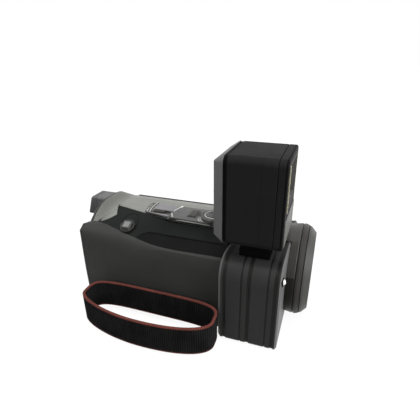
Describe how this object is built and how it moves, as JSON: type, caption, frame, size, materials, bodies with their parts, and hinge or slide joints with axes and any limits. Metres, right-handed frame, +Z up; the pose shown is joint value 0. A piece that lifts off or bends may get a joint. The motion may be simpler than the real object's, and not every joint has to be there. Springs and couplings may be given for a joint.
{
  "type": "camcorder",
  "caption": "Handheld camcorder with a hand strap, folding side screen, pull-out viewfinder, rear battery and a video light on its accessory shoe.",
  "frame": {"origin": "on the flat base, behind the tripod socket", "axes": "+X the way the lens looks, +Y towards the folding screen, +Z up"},
  "size_m": [0.1895, 0.1179, 0.1321],
  "materials": {
    "grip_grey": "dark grey satin plastic",
    "satin_black": "satin black plastic",
    "silver_paint": "silver-grey painted plastic",
    "mid_grey": "mid grey plastic",
    "light_grey": "grey satin plastic",
    "steel": "bare metal",
    "rubber": "soft rubber",
    "webbing": "black ribbed webbing with a dull red edge",
    "lens_glass": "coated glass",
    "dark_window": "dark glossy window",
    "diffuser": "pale cream translucent plastic",
    "circuit_board": "green circuit board"
  },
  "bodies": {
    "camcorder": {"grip_shell": "grip_grey", "thumb_panel": "satin_black", "top_cover": "silver_paint", "rear_cowl": "silver_paint", "left_cover": "satin_black", "base_plate": "satin_black", "tripod_socket": "steel", "rear_cover": "satin_black", "battery_bay": "satin_black", "front_bulkhead": "satin_black", "lens_housing_rear": "satin_black", "lens_housing_front": "satin_black", "lens_barrel": "satin_black", "hood_rim": "satin_black", "lens_retainer": "satin_black", "front_lens": "lens_glass", "lens_tube": "satin_black", "rear_lens": "lens_glass", "image_sensor": "steel", "zoom_motor": "steel", "tally_lamp": "diffuser", "hinge_ear_lower": "satin_black", "hinge_ear_upper": "satin_black", "hinge_pin": "steel", "mode_plate": "mid_grey", "zoom_plate": "mid_grey", "status_window": "dark_window", "record_bezel": "satin_black", "accessory_shoe": "satin_black", "hand_strap": "webbing", "strap_lug_front": "satin_black", "strap_lug_rear": "satin_black", "main_board": "circuit_board"},
    "screen": {"hinge_barrel": "satin_black", "screen_shell": "grip_grey", "screen_bezel": "satin_black", "screen_panel": "lens_glass"},
    "viewfinder": {"viewfinder_tube": "mid_grey", "eyecup": "rubber", "eyepiece_lens": "lens_glass", "viewfinder_display": "lens_glass"},
    "focus_ring": {"focus_ring": "grip_grey"},
    "battery": {"battery_pack": "satin_black"},
    "battery_latch": {"battery_latch": "grip_grey"},
    "mode_switch": {"mode_switch": "silver_paint"},
    "zoom_lever": {"zoom_lever": "grip_grey"},
    "photo_button": {"photo_button": "silver_paint"},
    "record_button": {"record_button": "silver_paint"},
    "light_foot": {"light_foot": "satin_black"},
    "video_light": {"light_back": "light_grey", "light_housing": "satin_black", "light_bezel": "satin_black", "light_diffuser": "diffuser", "lamp_board": "circuit_board"},
    "dimmer": {"dimmer_knob": "mid_grey"}
  },
  "joints": [
    {"name": "screen_open", "type": "hinge", "parent": "camcorder", "child": "screen", "pos_m": [0.0304, 0.0327, 0.0376], "axis": [0, 0, -1], "range_deg": [0, 90]},
    {"name": "viewfinder_pull", "type": "slide", "parent": "camcorder", "child": "viewfinder", "axis": [-1, 0, 0], "range_m": [0, 0.012]},
    {"name": "focus_turn", "type": "hinge", "parent": "camcorder", "child": "focus_ring", "pos_m": [0.0837, 0.0126, 0.0343], "axis": [1, 0, 0], "continuous": true},
    {"name": "battery_slide", "type": "slide", "parent": "camcorder", "child": "battery", "axis": [-1, 0, 0], "range_m": [0, 0.036]},
    {"name": "battery_release", "type": "slide", "parent": "camcorder", "child": "battery_latch", "axis": [0, -1, 0], "range_m": [0, 0.003], "stiffness_N_per_m": 300},
    {"name": "mode_slide", "type": "slide", "parent": "camcorder", "child": "mode_switch", "axis": [1, 0, 0], "range_m": [0, 0.004]},
    {"name": "zoom_turn", "type": "hinge", "parent": "camcorder", "child": "zoom_lever", "pos_m": [0.021, -0.0054, 0.0743], "axis": [0, 0, 1], "range_deg": [-20, 20], "stiffness_Nm_per_rad": 0.02},
    {"name": "photo_press", "type": "slide", "parent": "camcorder", "child": "photo_button", "axis": [0, 0, -1], "range_m": [0, 0.0008], "stiffness_N_per_m": 300},
    {"name": "record_press", "type": "slide", "parent": "camcorder", "child": "record_button", "axis": [0, 0.4496, -0.8932], "range_m": [0, 0.001], "stiffness_N_per_m": 300},
    {"name": "light_slide", "type": "slide", "parent": "camcorder", "child": "light_foot", "axis": [1, 0, 0], "range_m": [0, 0.022]},
    {"name": "light_pan", "type": "hinge", "parent": "light_foot", "child": "video_light", "pos_m": [0.0575, -0.021, 0.0757], "axis": [0, 0, 1], "range_deg": [-90, 90]},
    {"name": "dimmer_turn", "type": "hinge", "parent": "video_light", "child": "dimmer", "pos_m": [0.0323, -0.021, 0.1039], "axis": [-1, 0, 0], "range_deg": [0, 270]}
  ]
}
